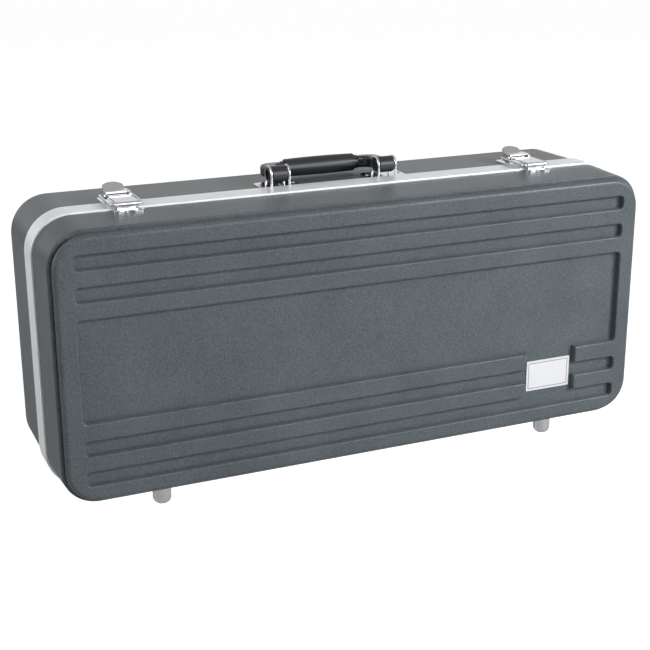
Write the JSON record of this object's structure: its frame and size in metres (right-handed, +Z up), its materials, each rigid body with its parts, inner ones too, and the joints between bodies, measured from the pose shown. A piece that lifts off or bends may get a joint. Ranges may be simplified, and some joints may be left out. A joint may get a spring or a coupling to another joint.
{
  "type": "tenor saxophone case",
  "caption": "Rectangular moulded case for a tenor saxophone: deeper base and hinged lid with recessed panels, metal valance, folding handle, draw latches and padded interior.",
  "frame": {"origin": "on the floor under the middle of the closed case, standing on its feet", "axes": "+X along the case to the right seen from the lid, +Y from the lid to the base, +Z up towards the handle"},
  "size_m": [0.843, 0.228, 0.4045],
  "materials": {
    "shell_plastic": "fine moulded grain",
    "valance_aluminium": "bright satin extrusion",
    "plush_lining": "short-pile plush over foam",
    "plush_board": "plush-covered board",
    "ribbon": "woven ribbon",
    "handle_plastic": "smooth black moulding",
    "grip_plastic": "smooth black moulding",
    "badge_aluminium": "bare satin plate",
    "foot_chrome": "plated, polished",
    "latch_chrome": "plated, polished",
    "plain_steel": "zinc plated"
  },
  "bodies": {
    "base": {"base_shell": "shell_plastic", "base_valance": "valance_aluminium", "base_lining": "plush_lining", "base_feet": "foot_chrome", "base_foot_screws": "plain_steel", "base_hinge_leaves": "plain_steel", "base_hinge_rivets": "plain_steel", "hinge_pins": "plain_steel", "handle_brackets": "latch_chrome", "bracket_rivets": "latch_chrome", "latch_plates": "latch_chrome", "latch_plate_rivets": "latch_chrome", "latch_lever_pins": "latch_chrome", "accessory_box": "plush_board", "accessory_lid_pins": "plain_steel"},
    "lid": {"lid_shell": "shell_plastic", "lid_valance": "valance_aluminium", "lid_lining": "plush_lining", "lid_feet": "foot_chrome", "lid_foot_screws": "plain_steel", "lid_hinge_leaves": "plain_steel", "lid_hinge_rivets": "plain_steel", "latch_keepers": "latch_chrome", "keeper_rivets": "latch_chrome", "badge_plate": "badge_aluminium"},
    "handle": {"handle_frame": "handle_plastic", "handle_grip": "grip_plastic"},
    "latch_lever_left": {"latch_lever_left": "latch_chrome"},
    "latch_lever_right": {"latch_lever_right": "latch_chrome"},
    "latch_bail_left": {"latch_bail_left": "latch_chrome", "latch_claw_left": "latch_chrome"},
    "latch_bail_right": {"latch_bail_right": "latch_chrome", "latch_claw_right": "latch_chrome"},
    "accessory_lid": {"accessory_lid": "plush_board", "accessory_lid_tab": "ribbon"}
  },
  "joints": [
    {"name": "lid_hinge", "type": "hinge", "parent": "base", "child": "lid", "pos_m": [0, -0.018, 0.0146], "axis": [1, 0, 0], "range_deg": [0, 105]},
    {"name": "handle_fold", "type": "hinge", "parent": "base", "child": "handle", "pos_m": [0, 0.0136, 0.3925], "axis": [1, 0, 0], "range_deg": [0, 175]},
    {"name": "latch_lever_left_turn", "type": "hinge", "parent": "base", "child": "latch_lever_left", "pos_m": [-0.299, 0.0075, 0.3855], "axis": [1, 0, 0], "range_deg": [0, 100]},
    {"name": "latch_lever_right_turn", "type": "hinge", "parent": "base", "child": "latch_lever_right", "pos_m": [0.2875, 0.0075, 0.3855], "axis": [1, 0, 0], "range_deg": [0, 100]},
    {"name": "latch_bail_left_turn", "type": "hinge", "parent": "latch_lever_left", "child": "latch_bail_left", "pos_m": [-0.299, 0.0195, 0.3845], "axis": [1, 0, 0], "range_deg": [-115, 0]},
    {"name": "latch_bail_right_turn", "type": "hinge", "parent": "latch_lever_right", "child": "latch_bail_right", "pos_m": [0.2875, 0.0195, 0.3845], "axis": [1, 0, 0], "range_deg": [-115, 0]},
    {"name": "accessory_lid_hinge", "type": "hinge", "parent": "base", "child": "accessory_lid", "pos_m": [-0.26, -0.0145, 0.3334], "axis": [-1, 0, 0], "range_deg": [0, 90]}
  ],
  "couplings": [
    {"joint": "latch_bail_left_turn", "follows": "latch_lever_left_turn", "ratio": -1.15},
    {"joint": "latch_bail_right_turn", "follows": "latch_lever_right_turn", "ratio": -1.15}
  ]
}
